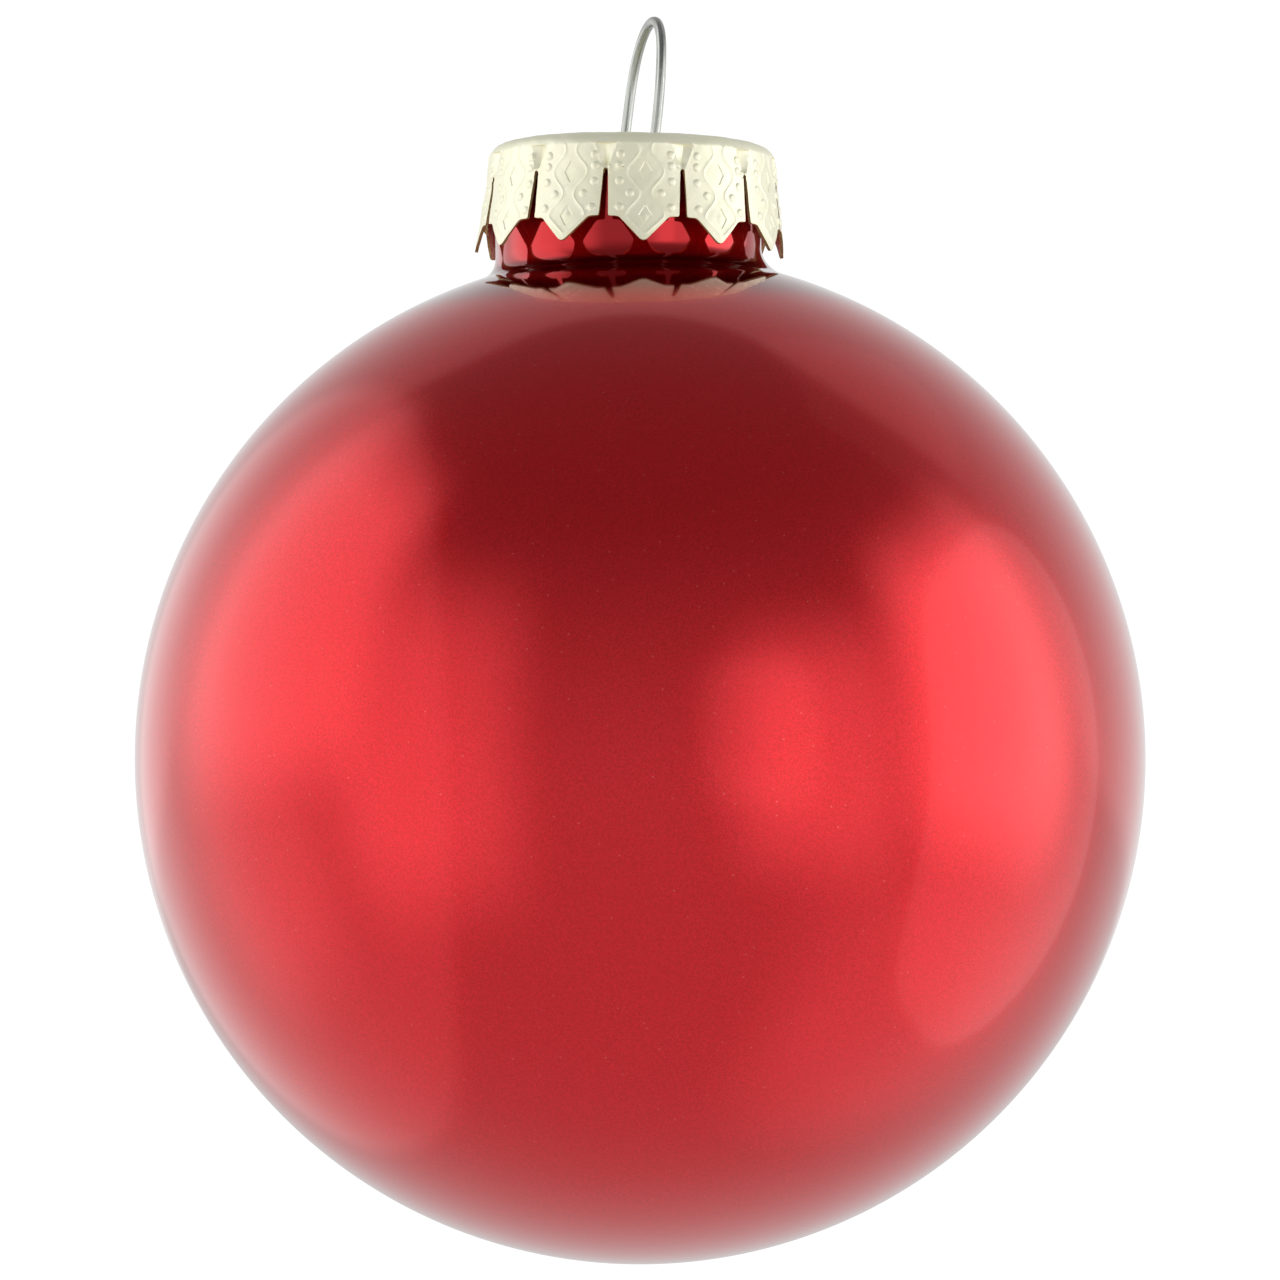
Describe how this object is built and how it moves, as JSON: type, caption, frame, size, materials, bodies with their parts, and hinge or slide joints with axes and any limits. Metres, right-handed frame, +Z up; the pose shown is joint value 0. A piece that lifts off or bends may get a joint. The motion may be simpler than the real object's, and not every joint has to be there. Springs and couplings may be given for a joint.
{
  "type": "glass ball ornament",
  "caption": "Round blown-glass ball ornament in pearl red, with a short neck, a petalled metal crown cap and a spring-wire loop that it hangs from.",
  "frame": {"origin": "inner top of the wire loop, where the hook or thread that holds the ornament bears", "axes": "+Z up, away from the ball; +Y along the line through the cap's two holes, so the loop lies in the YZ plane; the loop leans towards +X"},
  "size_m": [0.08, 0.08, 0.0991],
  "materials": {
    "red_pearl_glass": "gloss",
    "champagne_tin": "satin",
    "steel_wire": "satin"
  },
  "bodies": {
    "hanger": {"wire_hanger": "steel_wire"},
    "cap": {"crown_cap": "champagne_tin"},
    "ball": {"glass_ball": "red_pearl_glass"}
  },
  "joints": [
    {"name": "hanger_rock", "type": "hinge", "parent": "hanger", "child": "cap", "pos_m": [-0.00131, 0, -0.00981], "axis": [0, 1, 0], "range_deg": [-8, 17]},
    {"name": "cap_pull", "type": "slide", "parent": "cap", "child": "ball", "axis": [0, 0, -1], "range_m": [0, 0.025]}
  ]
}
